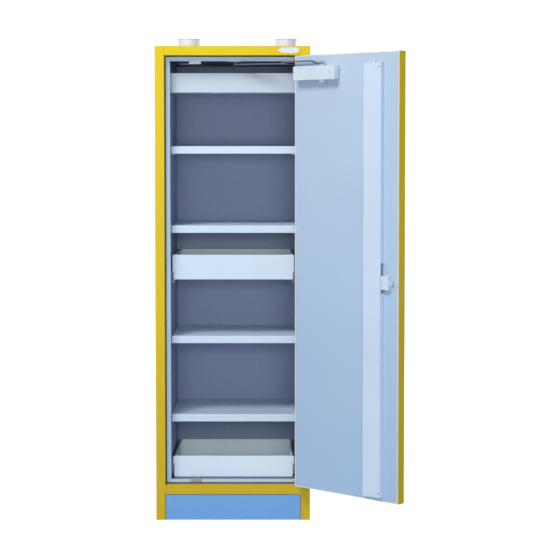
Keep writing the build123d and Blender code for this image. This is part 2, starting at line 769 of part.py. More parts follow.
def keepers():
    """Sockets in the frame that the rods and the latch tongue go into."""
    hole = rod_radius + latch_play
    top = top_keeper_space - upright(rod_x, rod_y, (top_keeper_z[0], stop_high), hole)
    save("top_keeper", top)
    low_hole = (bottom_keeper_z[1] - rod_travel - 2 * keeper_gap, bottom_keeper_z[1])
    save("bottom_keeper", bottom_keeper_space - upright(rod_x, rod_y, low_hole, hole))
    pocket_x = (strike_x[0] + sheet, strike_x[1])
    half = latch_thickness / 2 + latch_play
    pocket_z = (latch_z[0] - latch_play, latch_z[1] + latch_play)
    pocket = block(pocket_x, (latch_y - half, latch_y + half), pocket_z)
    save("side_strike", strike_space - pocket)


def handle():
    """Escutcheon, lever handle with its spindle, and the lock cylinder with its plug."""
    out = door_face - plate_thickness
    plate_x = (handle_x - plate_width / 2, handle_x + plate_width / 2)
    plate_z = (lock_height - plate_below, lock_height + plate_above)
    plate = soften(block(plate_x, (out, door_face), plate_z), Axis.Y, plate_width / 3)
    whole_y = (out - handle_stand, spindle_end)
    hole_y = (out - sheet, door_face + sheet)
    cylinder_z = lock_height - cylinder_drop
    plate -= along_y(handle_x, lock_height, hole_y, handle_spindle + latch_play)
    plate -= along_y(handle_x, cylinder_z, hole_y, cylinder_radius)
    save("handle_plate", *on_door(plate))

    tip_y = (whole_y[0] - lever_thickness, whole_y[0])
    hub = along_y(handle_x, lock_height, (tip_y[0], out - running), hub_radius)
    spindle_bar = along_y(handle_x, lock_height, (out - running, whole_y[1]), handle_spindle)
    lever = block((handle_x, handle_x + lever_length), tip_y,
                  (lock_height - lever_height / 2, lock_height + lever_height / 2))
    lever = soften(lever, Axis.Y, lever_height / 2.2)
    save("door_handle", *on_door(hub + spindle_bar + lever))

    barrel_y = (out - cylinder_proud, door_face + plug_length)
    barrel = along_y(handle_x, cylinder_z, barrel_y, cylinder_radius)
    plug_y = (barrel_y[0] - sheet, barrel_y[0] + plug_length)
    barrel -= along_y(handle_x, cylinder_z, plug_y, plug_radius + running)
    save("lock_cylinder", *on_door(barrel))
    plug_y = (barrel_y[0] - sheet, barrel_y[0] + plug_length - running)
    plug = along_y(handle_x, cylinder_z, plug_y, plug_radius)
    tall, wide, deep = key_slot
    plug -= block((handle_x - wide / 2, handle_x + wide / 2), (plug_y[0], plug_y[0] + deep),
                  (cylinder_z - tall / 2, cylinder_z + tall / 2))
    save("key_plug", *on_door(plug))


os.makedirs("parts", exist_ok=True)
outer_case()
stop_frame()
insulation_and_lining()
shelves()
mid_fixed = drawer("mid", mid_drawer_bottom, mid_drawer_height, runner_lift_mid)
low_fixed = drawer("low", low_drawer_bottom, low_drawer_height, runner_lift_low)
save("runners_fixed", *mid_fixed, *low_fixed)
vent_panel()
save("roof_collars", duct("exhaust", exhaust_x), duct("inlet", inlet_x))
roof_fittings()
base()
door_leaf()
hinges()
closer()
cover_strip()
lock_works()
keepers()
handle()
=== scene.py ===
"""Looks of the reagent cabinet: finishes, fittings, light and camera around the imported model."""
import json
import math

import bmesh
import bpy
from mathutils import Matrix, Vector


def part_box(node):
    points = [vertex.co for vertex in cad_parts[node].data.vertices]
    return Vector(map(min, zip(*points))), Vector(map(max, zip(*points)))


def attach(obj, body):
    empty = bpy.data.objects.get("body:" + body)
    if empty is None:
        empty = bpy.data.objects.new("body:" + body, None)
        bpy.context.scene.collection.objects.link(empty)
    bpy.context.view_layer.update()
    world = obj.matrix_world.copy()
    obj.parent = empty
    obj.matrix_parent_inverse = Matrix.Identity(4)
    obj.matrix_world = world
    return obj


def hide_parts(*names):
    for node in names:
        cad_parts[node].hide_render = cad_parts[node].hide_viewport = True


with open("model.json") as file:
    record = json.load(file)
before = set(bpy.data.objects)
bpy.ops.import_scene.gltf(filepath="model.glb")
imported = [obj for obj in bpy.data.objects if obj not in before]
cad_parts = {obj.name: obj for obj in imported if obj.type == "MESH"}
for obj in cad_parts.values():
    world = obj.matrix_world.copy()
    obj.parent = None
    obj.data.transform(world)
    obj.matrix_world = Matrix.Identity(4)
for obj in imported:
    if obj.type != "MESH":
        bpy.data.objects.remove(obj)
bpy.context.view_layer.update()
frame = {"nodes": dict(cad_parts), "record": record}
MM = 0.001  # one millimetre, in metres
scene = bpy.context.scene

# ------------------------------------------------------------------ places read from the frame
JOINTS = {joint["name"]: joint for joint in frame["record"]["behaviour"]["joints"]}


def joint_point(name):
    """The point that a joint turns about, in metres."""
    return Vector(JOINTS[name]["pos_m"])


HINGE = joint_point("door_swing")


def box(node):
    """Lowest and highest corner of a node."""
    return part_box(node)


# ------------------------------------------------------------------ shader helpers
BEVEL_SAMPLES = 4
MIX_FACTOR, MIX_UNDER, MIX_OVER, MIX_RESULT = 0, 6, 7, 2  # the mix node's sockets for colours


def new_group(name, inputs, outputs):
    """An empty shader node group with float inputs and named outputs."""
    tree = bpy.data.node_groups.new(name, "ShaderNodeTree")
    for label, default in inputs.items():
        socket = tree.interface.new_socket(label, in_out="INPUT", socket_type="NodeSocketFloat")
        socket.default_value = default
    for label, kind in outputs.items():
        tree.interface.new_socket(label, in_out="OUTPUT", socket_type=kind)
    return tree, tree.nodes.new("NodeGroupInput"), tree.nodes.new("NodeGroupOutput")


def add(tree, kind, settings=None, **inputs):
    """A node with its properties set, and its inputs set or linked by name."""
    node = tree.nodes.new(kind)
    for key, value in (settings or {}).items():
        setattr(node, key, value)
    for key, value in inputs.items():
        by_number = key[0] == "i" and key[1:].isdigit()
        socket = node.inputs[int(key[1:])] if by_number else node.inputs[key.replace("_", " ")]
        if isinstance(value, bpy.types.NodeSocket):
            tree.links.new(value, socket)
        else:
            socket.default_value = value
    return node


def calc(tree, operation, *values):
    """A maths node's result."""
    settings = {"operation": operation}
    inputs = {f"i{index}": value for index, value in enumerate(values)}
    return add(tree, "ShaderNodeMath", settings, **inputs).outputs[0]


def remap(tree, value, low, high, to_low=0.0, to_high=1.0):
    """A clamped straight remap of a value."""
    node = add(tree, "ShaderNodeMapRange", None, i0=value, i1=low, i2=high, i3=to_low, i4=to_high)
    return node.outputs[0]


def noise(tree, place, scale, detail=3.0, roughness=0.55):
    """Noise at a scale in waves a metre."""
    node = add(tree, "ShaderNodeTexNoise", None, Vector=place, Scale=scale,
               Detail=detail, Roughness=roughness)
    return node.outputs[0]


def object_place(tree):
    """The place on the piece, in its own coordinates."""
    return add(tree, "ShaderNodeTexCoord").outputs["Object"]


def edge_wear_group():
    """Where corners and folded edges rub bright."""
    tree, given, out = new_group("edge_wear", {"Width": 0.0015, "Breakup": 60.0},
                                 {"Mask": "NodeSocketFloat"})
    rounded = add(tree, "ShaderNodeBevel", {"samples": BEVEL_SAMPLES},
                  Radius=given.outputs["Width"]).outputs[0]
    flat = add(tree, "ShaderNodeNewGeometry").outputs["Normal"]
    likeness = add(tree, "ShaderNodeVectorMath", {"operation": "DOT_PRODUCT"}, i0=rounded, i1=flat)
    edge = remap(tree, likeness.outputs["Value"], 0.98, 0.80)  # 1 on a flat face, less at an edge
    patches = noise(tree, object_place(tree), given.outputs["Breakup"], 4.0)
    mask = calc(tree, "MULTIPLY", edge, remap(tree, patches, 0.44, 0.66))
    tree.links.new(mask, out.inputs["Mask"])
    return tree


def orange_peel_group():
    """The fine waviness of sprayed and baked enamel, with slow clouding."""
    tree, given, out = new_group("orange_peel", {"Peel": 420.0, "Cloud": 2.2},
                                 {"Height": "NodeSocketFloat", "Cloud": "NodeSocketFloat"})
    place = object_place(tree)
    tree.links.new(noise(tree, place, given.outputs["Peel"], 2.0, 0.4), out.inputs["Height"])
    tree.links.new(noise(tree, place, given.outputs["Cloud"], 3.0, 0.5), out.inputs["Cloud"])
    return tree


def handling_and_shade_group():
    """Marks of use: scuffs near the floor, wiping streaks, dust on level tops; and painted shade,
    darker low down.
    """
    inputs = {"Scuff height": 0.16, "Streaks": 9.0, "Unshaded height": 1.85}
    outputs = {name: "NodeSocketFloat" for name in ("Scuffs", "Wipes", "Dust", "Painted low shade")}
    tree, given, out = new_group("handling_marks_and_shade", inputs, outputs)
    place = object_place(tree)
    height = add(tree, "ShaderNodeSeparateXYZ", None, Vector=place).outputs["Z"]
    low = remap(tree, calc(tree, "DIVIDE", height, given.outputs["Scuff height"]), 1.0, 0.0)
    stretched = add(tree, "ShaderNodeMapping", None, Vector=place, Scale=(26.0, 26.0, 150.0))
    scratch = noise(tree, stretched.outputs[0], 1.0, 5.0, 0.7)
    scuffs = calc(tree, "MULTIPLY", low, remap(tree, scratch, 0.52, 0.70))
    tree.links.new(scuffs, out.inputs["Scuffs"])
    drawn = add(tree, "ShaderNodeMapping", None, Vector=place, Scale=(1.0, 1.0, 0.12))
    wipes = noise(tree, drawn.outputs[0], given.outputs["Streaks"], 4.0, 0.6)
    tree.links.new(remap(tree, wipes, 0.35, 0.75), out.inputs["Wipes"])
    normal = add(tree, "ShaderNodeNewGeometry").outputs["Normal"]
    up = add(tree, "ShaderNodeSeparateXYZ", None, Vector=normal).outputs["Z"]
    level = remap(tree, up, 0.75, 1.0)
    settled = remap(tree, noise(tree, place, 22.0, 5.0, 0.65), 0.38, 0.72)
    tree.links.new(calc(tree, "MULTIPLY", level, settled), out.inputs["Dust"])
    # painted shade: full at the floor, none at the unshaded height
    low_shade_share = calc(tree, "DIVIDE", height, given.outputs["Unshaded height"])
    tree.links.new(remap(tree, low_shade_share, 0.1, 1.0, 1.0, 0.0), out.inputs["Painted low shade"])
    return tree


EDGE_WEAR = edge_wear_group()
ORANGE_PEEL = orange_peel_group()
HANDLING_AND_SHADE = handling_and_shade_group()


def grouped(tree, group, **values):
    """An instance of a shared node group with its own values."""
    node = tree.nodes.new("ShaderNodeGroup")
    node.node_tree = group
    for key, value in values.items():
        node.inputs[key.replace("_", " ")].default_value = value
    return node


def mixed(tree, mask, under, over):
    """One colour over another by a mask; either may be a socket or a plain colour."""
    node = tree.nodes.new("ShaderNodeMix")
    node.data_type = "RGBA"
    node.clamp_factor = True
    for index, value in ((MIX_FACTOR, mask), (MIX_UNDER, under), (MIX_OVER, over)):
        socket = node.inputs[index]
        if isinstance(value, bpy.types.NodeSocket):
            tree.links.new(value, socket)
        elif isinstance(value, (tuple, list)):
            socket.default_value = (*value, 1.0)
        else:
            socket.default_value = value
    return node.outputs[MIX_RESULT]


def tinted(tree, base, mask, amount, colour):
    """A colour laid over the base by a share of a mask."""
    return mixed(tree, calc(tree, "MULTIPLY", mask, amount), base, colour)


def bumped(tree, shader, height, strength, distance, rounding=None):
    """Gives a finish its fine relief, and rounds its edges for the light where asked, in metres."""
    bend = {}
    if rounding:
        rounded = add(tree, "ShaderNodeBevel", {"samples": BEVEL_SAMPLES}, Radius=rounding)
        bend["Normal"] = rounded.outputs[0]
    bump = add(tree, "ShaderNodeBump", None, Strength=strength, Distance=distance, Height=height,
               **bend)
    tree.links.new(bump.outputs[0], shader.inputs["Normal"])


def start_material(name):
    """A new material with its node tree and its main shader."""
    material = bpy.data.materials.new(name)
    material.use_nodes = True
    tree = material.node_tree
    return material, tree, tree.nodes["Principled BSDF"]


def scaled(colour, amount):
    """A colour made lighter or darker."""
    return tuple(min(1.0, c * amount) for c in colour)


# ------------------------------------------------------------------ finishes
WORN_DARK = (0.46, 0.47, 0.48)  # steel where strong colours rub through
WORN_LIGHT = (0.42, 0.44, 0.46)  # and where light ones do
GREY_DUST = (0.60, 0.59, 0.57)


def enamel(name, colour, roughness, worn=WORN_DARK, peel=0.10, dust=0.30, scuffs=0.35,
           gloss=0.5, painted_low_shade=0.0, painted_low_shade_colour=None):
    """Sprayed and baked enamel on folded steel, with painted shade low down where asked."""
    material, tree, shader = start_material(name)
    skin = grouped(tree, ORANGE_PEEL)
    marks_and_shade = grouped(tree, HANDLING_AND_SHADE)
    edges = grouped(tree, EDGE_WEAR)
    cloud = remap(tree, skin.outputs["Cloud"], 0.3, 0.7)
    base = mixed(tree, cloud, scaled(colour, 0.955), scaled(colour, 1.03))
    base = tinted(tree, base, marks_and_shade.outputs["Wipes"], 0.10, scaled(colour, 1.10))
    base = tinted(tree, base, marks_and_shade.outputs["Scuffs"], scuffs, scaled(colour, 0.62))
    # painted shade: the colour darkens towards the floor, where the light falls off
    base = tinted(tree, base, marks_and_shade.outputs["Painted low shade"], painted_low_shade, painted_low_shade_colour or scaled(colour, 0.70))
    base = tinted(tree, base, marks_and_shade.outputs["Dust"], dust, GREY_DUST)
    base = tinted(tree, base, edges.outputs["Mask"], 0.45, worn)
    tree.links.new(base, shader.inputs["Base Color"])
    rough = remap(tree, marks_and_shade.outputs["Wipes"], 0.0, 1.0, roughness + 0.05, roughness - 0.03)
    rough = calc(tree, "ADD", rough, calc(tree, "MULTIPLY", marks_and_shade.outputs["Dust"], 0.25))
    tree.links.new(rough, shader.inputs["Roughness"])
    bumped(tree, shader, skin.outputs["Height"], peel, 0.0004, rounding=0.0012)
    shader.inputs["Specular IOR Level"].default_value = gloss
    return material


def board(name, colour, roughness, fibre=90.0, depth=0.15):
    """Pressed board: melamine-faced lining or bare mineral board."""
    material, tree, shader = start_material(name)
    place = object_place(tree)
    marks_and_shade = grouped(tree, HANDLING_AND_SHADE)
    speck = noise(tree, place, fibre, 5.0, 0.7)
    cloud = noise(tree, place, 3.0, 3.0)
    base = mixed(tree, remap(tree, speck, 0.35, 0.65), scaled(colour, 0.93), scaled(colour, 1.05))
    base = mixed(tree, remap(tree, cloud, 0.35, 0.65, 0.0, 0.35), base, scaled(colour, 0.90))
    base = tinted(tree, base, marks_and_shade.outputs["Dust"], 0.25, (0.5, 0.5, 0.5))
    tree.links.new(base, shader.inputs["Base Color"])
    rough = remap(tree, speck, 0.3, 0.7, roughness - 0.06, roughness + 0.06)
    tree.links.new(rough, shader.inputs["Roughness"])
    bumped(tree, shader, speck, depth, 0.0003)
    return material


DRAWN_GRAIN = (8.0, 8.0, 320.0)  # waves a metre along each axis
ZINC_GRAIN = (60.0, 60.0, 60.0)


def bare_metal(name, colour, roughness, grain=DRAWN_GRAIN, spangle=0.0, metallic=1.0):
    """Drawn, rolled or zinc-plated metal."""
    material, tree, shader = start_material(name)
    place = object_place(tree)
    drawn = add(tree, "ShaderNodeMapping", None, Vector=place, Scale=grain)
    lines = noise(tree, drawn.outputs[0], 1.0, 4.0, 0.6)
    flowers = add(tree, "ShaderNodeTexVoronoi", {"feature": "F1"}, Vector=place, Scale=160.0)
    tone = mixed(tree, remap(tree, lines, 0.3, 0.7), scaled(colour, 0.86), scaled(colour, 1.08))
    patch = remap(tree, flowers.outputs["Distance"], 0.2, 0.8, 0.0, spangle)
    tone = mixed(tree, patch, tone, scaled(colour, 0.70))
    edges = grouped(tree, EDGE_WEAR, Width=0.0006)
    tone = tinted(tree, tone, edges.outputs["Mask"], 0.5, scaled(colour, 1.2))
    tree.links.new(tone, shader.inputs["Base Color"])
    rough = remap(tree, lines, 0.25, 0.75, roughness - 0.07, roughness + 0.09)
    tree.links.new(rough, shader.inputs["Roughness"])
    bumped(tree, shader, lines, 0.12, 0.0002)
    shader.inputs["Metallic"].default_value = metallic
    return material


def moulded(name, colour, roughness, texture=900.0, depth=0.12, gloss=0.5):
    """Moulded plastic or rubber with a spark-eroded texture."""
    material, tree, shader = start_material(name)
    place = object_place(tree)
    grain = noise(tree, place, texture, 2.0, 0.5)
    cloud = noise(tree, place, 30.0, 3.0)
    edges = grouped(tree, EDGE_WEAR, Width=0.0008)
    base = mixed(tree, remap(tree, cloud, 0.35, 0.65), scaled(colour, 0.94), scaled(colour, 1.04))
    base = tinted(tree, base, edges.outputs["Mask"], 0.25, scaled(colour, 1.35))
    tree.links.new(base, shader.inputs["Base Color"])
    rough = remap(tree, grain, 0.3, 0.7, roughness - 0.05, roughness + 0.07)
    tree.links.new(rough, shader.inputs["Roughness"])
    bumped(tree, shader, grain, depth, 0.0002, rounding=0.0008)
    shader.inputs["Specular IOR Level"].default_value = gloss
    return material


FINISHES = {
    # painted shade: the yellow darkens and browns towards the floor
    "yellow_enamel": enamel("yellow_enamel", (0.84, 0.612, 0.010), 0.42, dust=0.05, gloss=0.15,
                            painted_low_shade=0.72, painted_low_shade_colour=(0.59, 0.39, 0.020)),
    "blue_enamel": enamel("blue_enamel", (0.17, 0.40, 0.78), 0.40, scuffs=0.4),
    "light_enamel": enamel("light_enamel", (0.64, 0.76, 0.90), 0.42, worn=WORN_LIGHT),
    "light_board": board("light_board", (0.265, 0.325, 0.50), 0.50),
    "fire_board": board("fire_board", (0.62, 0.60, 0.56), 0.85, fibre=260.0, depth=0.5),
    "galvanised": bare_metal("galvanised", (0.56, 0.58, 0.60), 0.42,
                             grain=ZINC_GRAIN, spangle=0.35),
    "bright_steel": bare_metal("bright_steel", (0.66, 0.67, 0.69), 0.26),
    "dark_seal": moulded("dark_seal", (0.030, 0.030, 0.034), 0.62),
    "pale_seal": moulded("pale_seal", (0.80, 0.78, 0.68), 0.60),
    "white_plastic": moulded("white_plastic", (0.66, 0.77, 0.86), 0.38),
    "grey_plastic": moulded("grey_plastic", (0.34, 0.35, 0.39), 0.45),
    "black_plastic": moulded("black_plastic", (0.018, 0.018, 0.024), 0.50, gloss=0.3),
    "seam_filler": moulded("seam_filler", (0.24, 0.18, 0.02), 0.55),
    "clip_plastic": moulded("clip_plastic", (0.20, 0.19, 0.30), 0.45),
    "badge_lacquer": moulded("badge_lacquer", (0.70, 0.76, 0.83), 0.30,
                             texture=300.0, depth=0.03),
    # painted shade: the door's inner face darkens towards the floor
    "door_enamel": enamel("door_enamel", (0.505, 0.63, 0.77), 0.42, worn=WORN_LIGHT,
                          painted_low_shade=1.0, painted_low_shade_colour=(0.415, 0.575, 0.78)),
    "stop_enamel": enamel("stop_enamel", (0.51, 0.70, 0.94), 0.42, worn=WORN_LIGHT),
    # painted light: a lighter copy of the light enamel for the low drawer front, as if it caught
    # more light
    "painted_lit_enamel": enamel("painted_lit_enamel", (0.75, 0.88, 0.99), 0.42, worn=WORN_LIGHT),
    # painted shade: a darker copy of the light enamel for the vent panel, standing for the header's
    # shadow
    "shaded_vent_enamel": enamel("shaded_vent_enamel", (0.56, 0.65, 0.76), 0.42, worn=WORN_LIGHT),
    # painted light: a lighter copy of the light enamel for the drawer trays, standing for the light
    # that reaches into them
    "lit_tray_enamel": enamel("lit_tray_enamel", (0.83, 0.92, 0.95), 0.42, worn=WORN_LIGHT),
    "white_enamel": enamel("white_enamel", (0.76, 0.82, 1.0), 0.40, worn=(0.5, 0.5, 0.5)),
    "dark_steel": bare_metal("dark_steel", (0.16, 0.19, 0.26), 0.38, metallic=0.6),
    "pale_zinc": bare_metal("pale_zinc", (0.74, 0.77, 0.84), 0.48, grain=ZINC_GRAIN, metallic=0.4),
    "brass_plug": bare_metal("brass_plug", (0.62, 0.44, 0.16), 0.28),
}


SHADES = {  # nodes with a shade of their own within their slot
    "stop_frame": "stop_enamel",
    # painted light: the trays' lit copy, for the light reaching into them
    "mid_drawer_tray": "lit_tray_enamel",
    "low_drawer_tray": "lit_tray_enamel",
    # painted light: the low drawer front's lit copy of the light enamel
    "low_drawer_front": "painted_lit_enamel",
    # painted shade: the vent panel's darker copy, for the header's shadow
    "vent_panel": "shaded_vent_enamel",
    "closer_spindle": "white_plastic",
    "latch_tongue": "pale_zinc",
}


def finish_cad_nodes():
    """Gives every carried-over node the finish of its slot, or its own shade of it."""
    for part in frame["record"]["subparts"]:
        node = frame["nodes"][part["node"]]
        material = FINISHES[SHADES.get(part["node"], part["material_slot"])]
        if not node.data.materials:
            node.data.materials.append(material)
        for index in range(len(node.data.materials)):
            node.data.materials[index] = material


finish_cad_nodes()


# ------------------------------------------------------------------ making pieces
def swing_angle():
    """How far the door stands open, in radians."""
    return math.radians(-JOINTS["door_swing"]["range_deg"][0])


DOOR_SWING = (Matrix.Translation(HINGE) @ Matrix.Rotation(swing_angle(), 4, "Z")
              @ Matrix.Translation(-HINGE))  # from the closed door to where it stands


def closed_box(node):
    """Lowest and highest corner of a node as it lies on the closed door."""
    shut = DOOR_SWING.inverted()
    places = [shut @ vertex.co for vertex in frame["nodes"][node].data.vertices]
    low = Vector(min(place[axis] for place in places) for axis in range(3))
    high = Vector(max(place[axis] for place in places) for axis in range(3))
    return low, high


def finished(name, shape, body, finish, smooth=35, place=None):
    """Turns a bmesh into a piece that rides on a body, with its finish."""
    if place is not None:
        bmesh.ops.transform(shape, matrix=place, verts=shape.verts)
    bmesh.ops.recalc_face_normals(shape, faces=shape.faces)
    data = bpy.data.meshes.new(name)
    shape.to_mesh(data)
    shape.free()
    piece = bpy.data.objects.new(name, data)
    scene.collection.objects.link(piece)
    data.materials.append(FINISHES[finish])
    data.shade_smooth()
    data.set_sharp_from_angle(angle=math.radians(smooth))
    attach(piece, body)
    return piece


def turned_form(profile, steps=24):
    """A round form about Z from its half section, given as radius and height in millimetres."""
    shape = bmesh.new()
    verts = [shape.verts.new((radius * MM, 0, height * MM)) for radius, height in profile]
    edges = [shape.edges.new(pair) for pair in zip(verts, verts[1:])]
    bmesh.ops.spin(shape, geom=verts + edges, cent=(0, 0, 0), axis=(0, 0, 1), dvec=(0, 0, 0),
                   angle=math.tau, steps=steps, use_merge=True, use_duplicate=False)
    bmesh.ops.remove_doubles(shape, verts=shape.verts, dist=1e-6)
    return shape


def slab(size, rounding, segments=2):
    """A block with all its edges rounded, about its centre, in millimetres."""
    shape = bmesh.new()
    bmesh.ops.create_cube(shape, size=1.0)
    bmesh.ops.scale(shape, vec=[length * MM for length in size], verts=shape.verts)
    bmesh.ops.bevel(shape, geom=shape.edges[:], offset=rounding * MM, affect="EDGES",
                    segments=segments, profile=0.5, material=-1)
    return shape


def joined(shapes):
    """Several bmeshes as one."""
    whole = bmesh.new()
    for shape in shapes:
        passing = bpy.data.meshes.new("passing")
        shape.to_mesh(passing)
        whole.from_mesh(passing)
        bpy.data.meshes.remove(passing)
        shape.free()
    return whole


def facing(direction, place, turn=0.0):
    """Puts a form that stands up Z onto a surface, turned about its own axis, in metres."""
    aim = Vector(direction).to_track_quat("Z", "Y").to_matrix().to_4x4()
    return Matrix.Translation(place) @ aim @ Matrix.Rotation(turn, 4, "Z")


def moved(shape, place):
    """A bmesh put at a place, which is a matrix."""
    bmesh.ops.transform(shape, matrix=place, verts=shape.verts)
    return shape


def shifted(shape, place):
    """A bmesh moved to a place in metres, unturned."""
    return moved(shape, Matrix.Translation(place))


def rows(start, end, count):
    """Evenly spread values from start to end."""
    return [start + (end - start) * index / (count - 1) for index in range(count)]


def ends(low, high, inset):
    """Two places an inset in millimetres inside a span's ends, or outside where it is negative."""
    return low + inset * MM, high - inset * MM


def shut_point(name):
    """A door joint's point as it lies on the closed door."""
    return DOOR_SWING.inverted() @ joint_point(name)


def new_verts(made):
    """The points that an extrusion made."""
    return [item for item in made["geom"] if isinstance(item, bmesh.types.BMVert)]


def cut_across(shape, place, direction):
    """Adds an edge line where a plane crosses a form."""
    bmesh.ops.bisect_plane(shape, geom=shape.verts[:] + shape.edges[:] + shape.faces[:],
                           plane_co=place, plane_no=direction, dist=1e-7)


# ------------------------------------------------------------------ fastenings
TO_FRONT, TO_BACK = (0, -1, 0), (0, 1, 0)
TO_LEFT, TO_RIGHT = (-1, 0, 0), (1, 0, 0)
UP, DOWN = (0, 0, 1), (0, 0, -1)
FIRST_TURN, NEXT_TURN = 0.35, 0.9  # radians, so that no two recesses line up

# radii of the heads, in millimetres
HINGE_SCREW = 3.4
PLATE_SCREW = 3.2
DRAWER_SCREW = 3.0
BRACKET_SCREW = 3.0
CLOSER_SCREW = 2.8
KEEPER_SCREW = 2.4
STRIKE_SCREW = 2.2
RIVET = 3.6

# counts and places; a number without MM is in millimetres
COVER_SCREWS = 6
HINGE_LEAVES = 3
HINGE_LEAF_TALL = 84 * MM
LEAF_SHARES = (0.14, 0.5, 0.86)  # where a leaf's screws are, as shares of its height
LEAF_INSET = 9 * MM
LEAF_SUNK = 2 * MM
TOP_KEEPER_RISE, BOTTOM_KEEPER_DROP = 7 * MM, 8 * MM
KEEPER_INSET = 6
STRIKE_INSET = 4
PLATE_INSET = 12
CLOSER_INSET = 12
BRACKET_INSET = 8
BRACKET_SUNK = 3 * MM
DRAWER_SCREW_PLACES = (-180, 0, 180)
TRAY_WALL = 1.5 * MM  # the heads stand on its inner face
RIVET_INSET = 9
BACK_CORNER_GAP = 40
BACK_RIVET_ROWS, BACK_RIVET_COLUMNS = 11, 4
BACK_RIVET_REACH = 210 * MM
ROOF_BACK_RIVETS, ROOF_SIDE_RIVETS = 5, 4
ROOF_RIVET_REACH = 270 * MM
ROOF_RIVET_START, ROOF_RIVET_END = -230 * MM, 210 * MM


def cross_screw(radius):
    """A pan-head screw's head with a cross recess."""
    head = radius * 0.55
    shape = turned_form([(0, head), (radius * 0.45, head * 0.97), (radius * 0.78, head * 0.76),
                         (radius, head * 0.30), (radius, 0), (0, 0)], 16)
    arm, reach = radius * 0.12 * MM, radius * 0.56 * MM  # half the width and length of a slot
    depth, taper = head * 0.62 * MM, 0.55
    for axis in (TO_RIGHT, TO_BACK):
        for offset in (-reach, -arm, arm, reach):
            cut_across(shape, [c * offset for c in axis], axis)
    recess = []
    for face in shape.faces:
        middle = face.calc_center_median()
        across, along = sorted((abs(middle.x), abs(middle.y)))
        if middle.z > head * 0.5 * MM and across < arm and along < reach:
            recess.append(face)
    sunk = bmesh.ops.extrude_face_region(shape, geom=recess)
    bmesh.ops.delete(shape, geom=recess, context="FACES")
    verts = new_verts(sunk)
    bmesh.ops.translate(shape, vec=(0, 0, -depth), verts=verts)
    bmesh.ops.scale(shape, vec=(taper, taper, 1), verts=verts)
    return shape


def rivet(radius):
    """A low domed blind rivet with its drawn stem."""
    shares = ((0, 0.24), (0.22, 0.26), (0.27, 0.44), (0.62, 0.36), (1, 0.10), (1, 0), (0, 0))
    return turned_form([(radius * across, radius * up) for across, up in shares], 12)


def hexagon_head(radius, height):
    """A hexagon nut or bolt head with chamfered corners and a raised centre."""
    shape = bmesh.new()
    bmesh.ops.create_circle(shape, cap_ends=True, segments=6, radius=radius * MM)
    raised = bmesh.ops.extrude_face_region(shape, geom=shape.faces[:])
    bmesh.ops.translate(shape, vec=(0, 0, height * MM), verts=new_verts(raised))
    near_top = height * 0.9 * MM
    rims = [edge for edge in shape.edges if all(vert.co.z > near_top for vert in edge.verts)]
    bmesh.ops.bevel(shape, geom=rims, offset=radius * 0.12 * MM, affect="EDGES", segments=2,
                    profile=0.5, material=-1)
    top = max(shape.faces, key=lambda face: face.calc_center_median().z)
    bmesh.ops.inset_region(shape, faces=[top], thickness=radius * 0.25 * MM, depth=0)
    bmesh.ops.inset_region(shape, faces=[top], thickness=radius * 0.05 * MM,
                           depth=radius * 0.16 * MM)
    return shape


def fastenings(name, body, finish, maker, size, direction, places, on_door=False):
    """A set of like screws or rivets on one body, each turned a little differently."""
    shapes = []
    for index, place in enumerate(places):
        turn = NEXT_TURN * index + FIRST_TURN
        shapes.append(moved(maker(size), facing(direction, place, turn)))
    return finished(name, joined(shapes), body, finish, 30, DOOR_SWING if on_door else None)


def cover_strip_screws():
    """The screws down the cover strip: bare at its ends, painted over between them."""
    low, high = closed_box("cover_screws")
    x = (low.x + high.x) / 2
    radius = (high.x - low.x) / 2 / MM
    places = [(x, low.y, z) for z in rows(*ends(low.z, high.z, radius), COVER_SCREWS)]
    painted = fastenings("cover_strip_screws", "door", "white_enamel", cross_screw, radius,
                         TO_BACK, places[1:-1], True)
    fastenings("cover_strip_end_screws", "door", "dark_steel", cross_screw, radius,
               TO_BACK, (places[0], places[-1]), True)
    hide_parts("cover_screws")


def hinge_screws():
    """The sunk screws of every hinge leaf, painted with it."""
    low, high = box("hinge_leaves_frame")
    starts = rows(low.z, high.z - HINGE_LEAF_TALL, HINGE_LEAVES)
    heights = [start + HINGE_LEAF_TALL * share for start in starts for share in LEAF_SHARES]
    x = high.x - LEAF_INSET
    fastenings("hinge_frame_screws", "cabinet", "yellow_enamel", cross_screw, HINGE_SCREW,
               TO_FRONT, [(x, high.y - LEAF_SUNK, z) for z in heights])
    shut_low, shut_high = closed_box("hinge_leaves_door")
    x = shut_low.x + LEAF_INSET
    fastenings("hinge_door_screws", "door", "yellow_enamel", cross_screw, HINGE_SCREW,
               TO_FRONT, [(x, shut_high.y - LEAF_SUNK, z) for z in heights], True)


def keeper_screws():
    """Fixings of the keepers that take the rods' ends."""
    heights = {"top_keeper": box("top_keeper")[0].z + TOP_KEEPER_RISE,
               "bottom_keeper": box("bottom_keeper")[1].z - BOTTOM_KEEPER_DROP}
    for keeper, z in heights.items():
        low, high = box(keeper)
        fastenings(f"{keeper}_screws", "cabinet", "bright_steel", cross_screw, KEEPER_SCREW,
                   TO_FRONT, [(x, low.y, z) for x in ends(low.x, high.x, KEEPER_INSET)])


def drawer_screws(drawer):
    """Screw heads inside a drawer that hold its front on."""
    low, high = box(f"{drawer}_drawer_tray")
    z = (low.z + high.z) / 2
    fastenings(f"{drawer}_drawer_front_screws", f"{drawer}_drawer", "bright_steel", cross_screw,
               DRAWER_SCREW, TO_BACK, [(x * MM, low.y + TRAY_WALL, z) for x in DRAWER_SCREW_PLACES])


